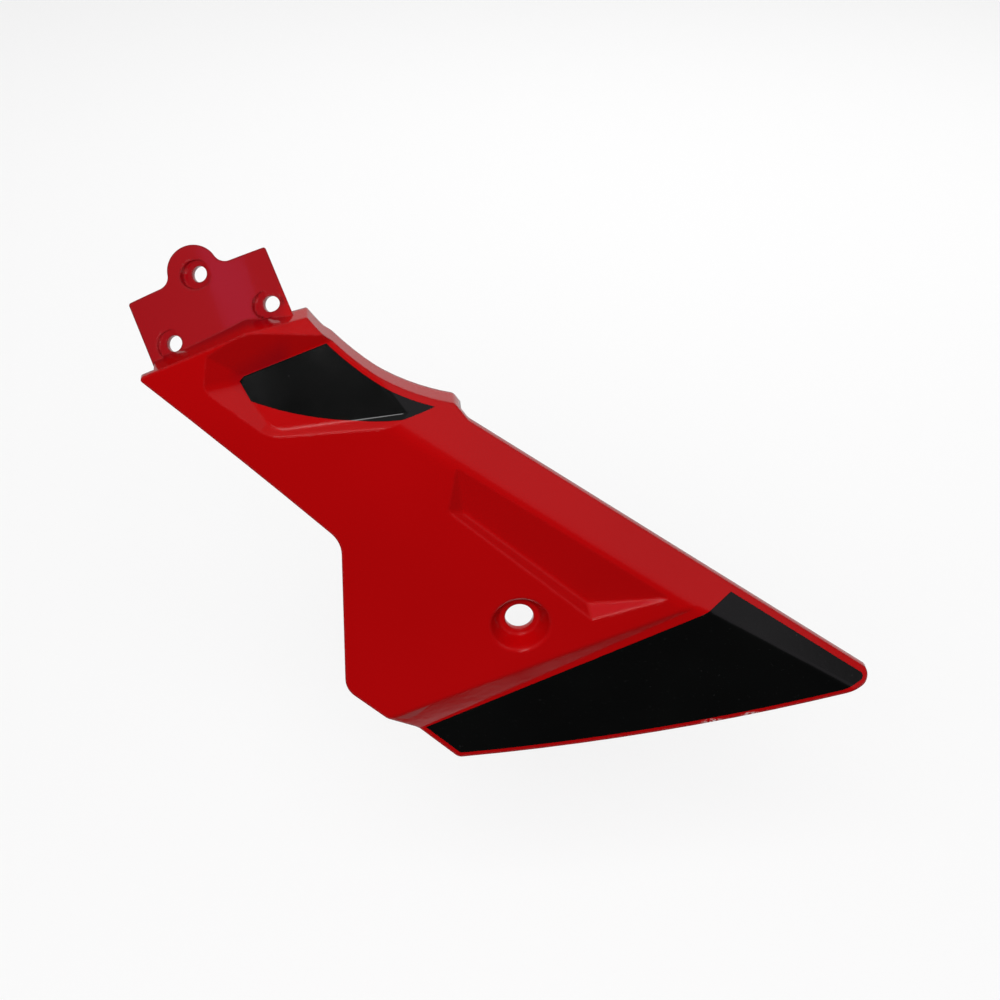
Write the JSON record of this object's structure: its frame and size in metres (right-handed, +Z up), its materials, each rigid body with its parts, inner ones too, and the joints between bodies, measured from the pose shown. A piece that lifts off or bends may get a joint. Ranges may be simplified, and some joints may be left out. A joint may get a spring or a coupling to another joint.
{
  "type": "lower fairing panel",
  "caption": "Thin moulded motorbike lower fairing panel: red folded outer face, sunk black decal fields, dished bolt hole and a slanted fixing tab behind its top corner.",
  "frame": {"origin": "centre of the main bore, on the front of the seat at the bottom of its dish", "axes": "the outer face looks to -Y along the main bore's axis, +X runs to the long pointed end, +Z is up"},
  "size_m": [0.3052, 0.0373, 0.2298],
  "materials": {
    "red_shell": "gloss red, moulded and lacquered",
    "black_film": "gloss black self-adhesive film"
  },
  "bodies": {
    "root": {"panel": "red_shell", "upper_decal": "black_film", "lower_decal": "black_film"}
  },
  "joints": []
}
